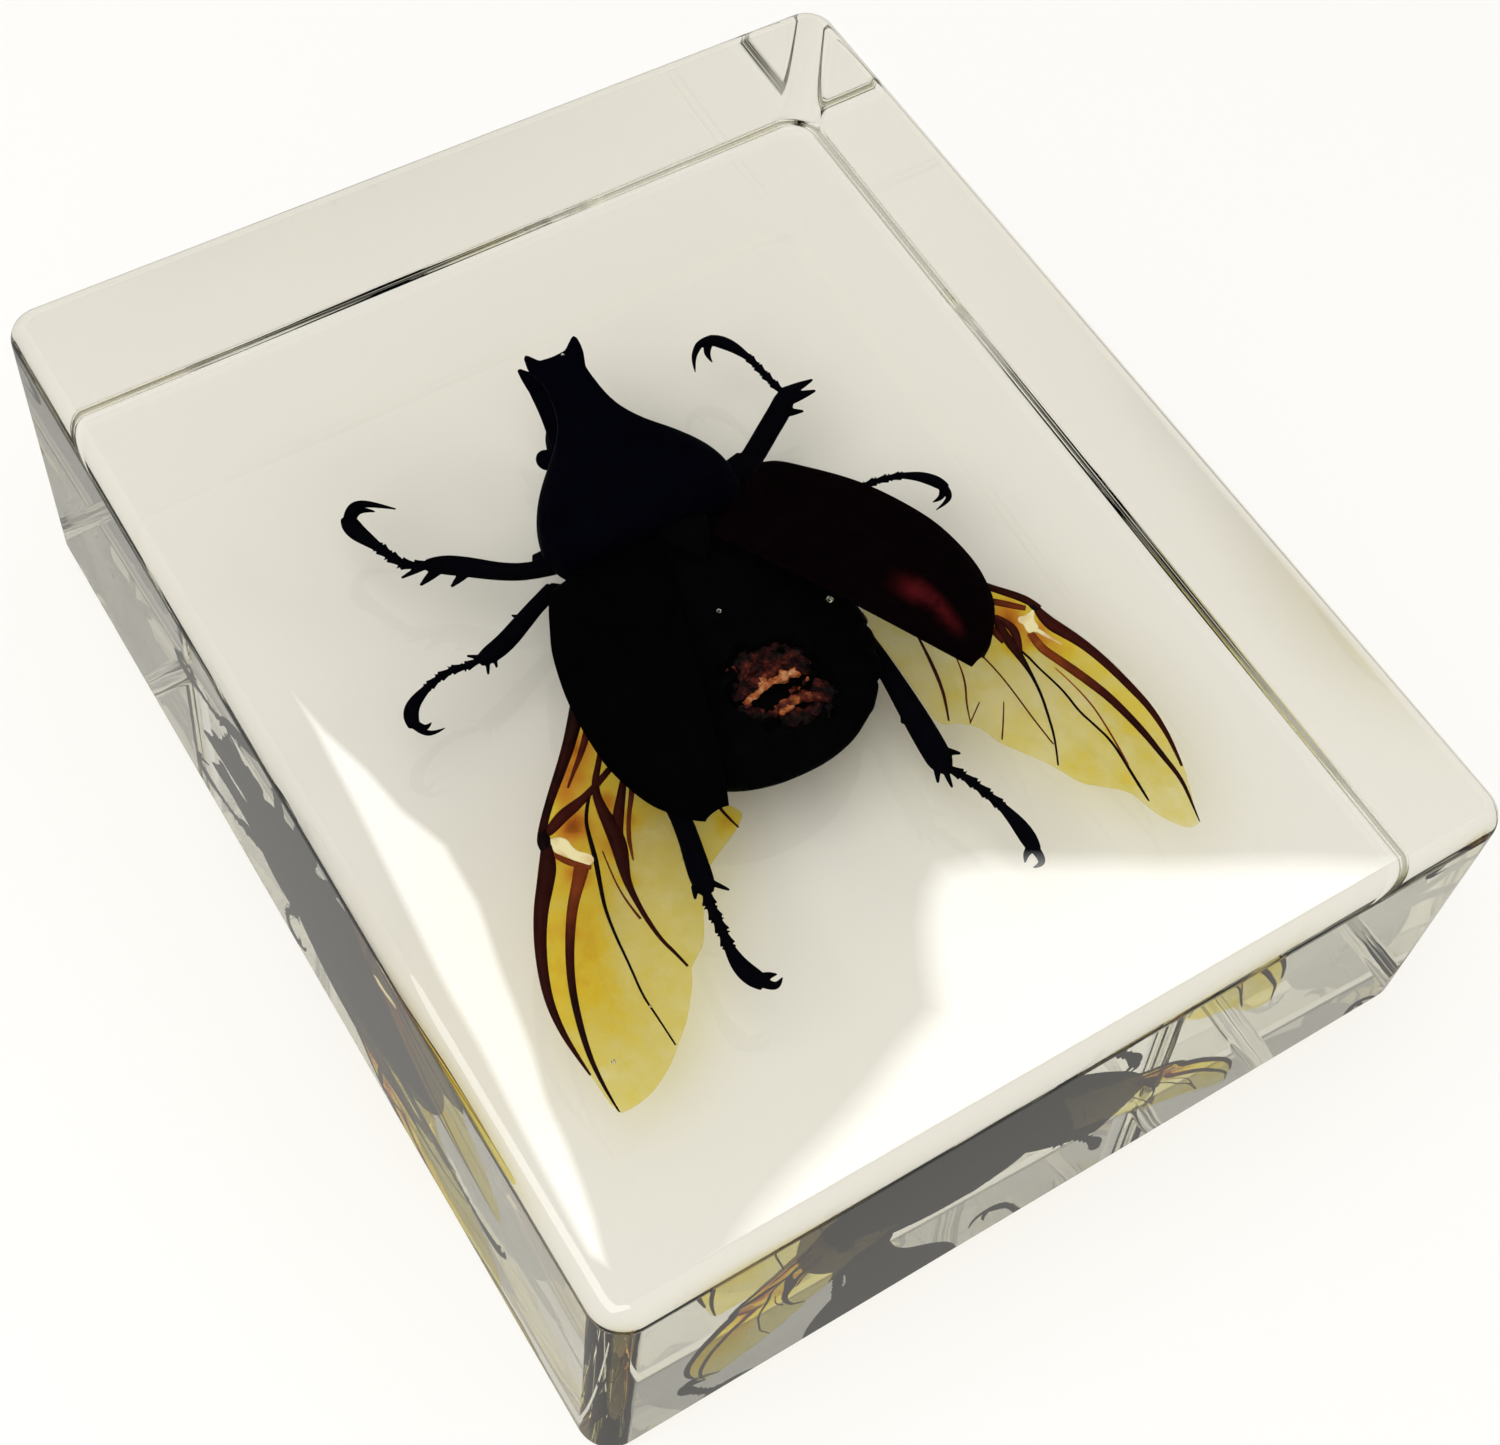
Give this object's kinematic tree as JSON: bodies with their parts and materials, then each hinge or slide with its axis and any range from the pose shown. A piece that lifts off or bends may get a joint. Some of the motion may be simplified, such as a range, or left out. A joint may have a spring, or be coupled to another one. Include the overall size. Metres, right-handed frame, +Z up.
{
  "type": "insect in resin block",
  "caption": "Clear cast resin block with softly rounded edges and a horned rhinoceros beetle sealed inside, its wings spread; rests on its flat base.",
  "frame": {"origin": "centre of the flat base that the block rests on", "axes": "+Z up from the base to the top face, +Y along the block's length towards the beetle's horn, +X to the beetle's right side when seen from above"},
  "size_m": [0.089, 0.11, 0.034],
  "materials": {
    "clear_resin": "polished clear polyester casting resin, very slightly warm"
  },
  "bodies": {
    "root": {"resin_block": "clear_resin"}
  },
  "joints": []
}
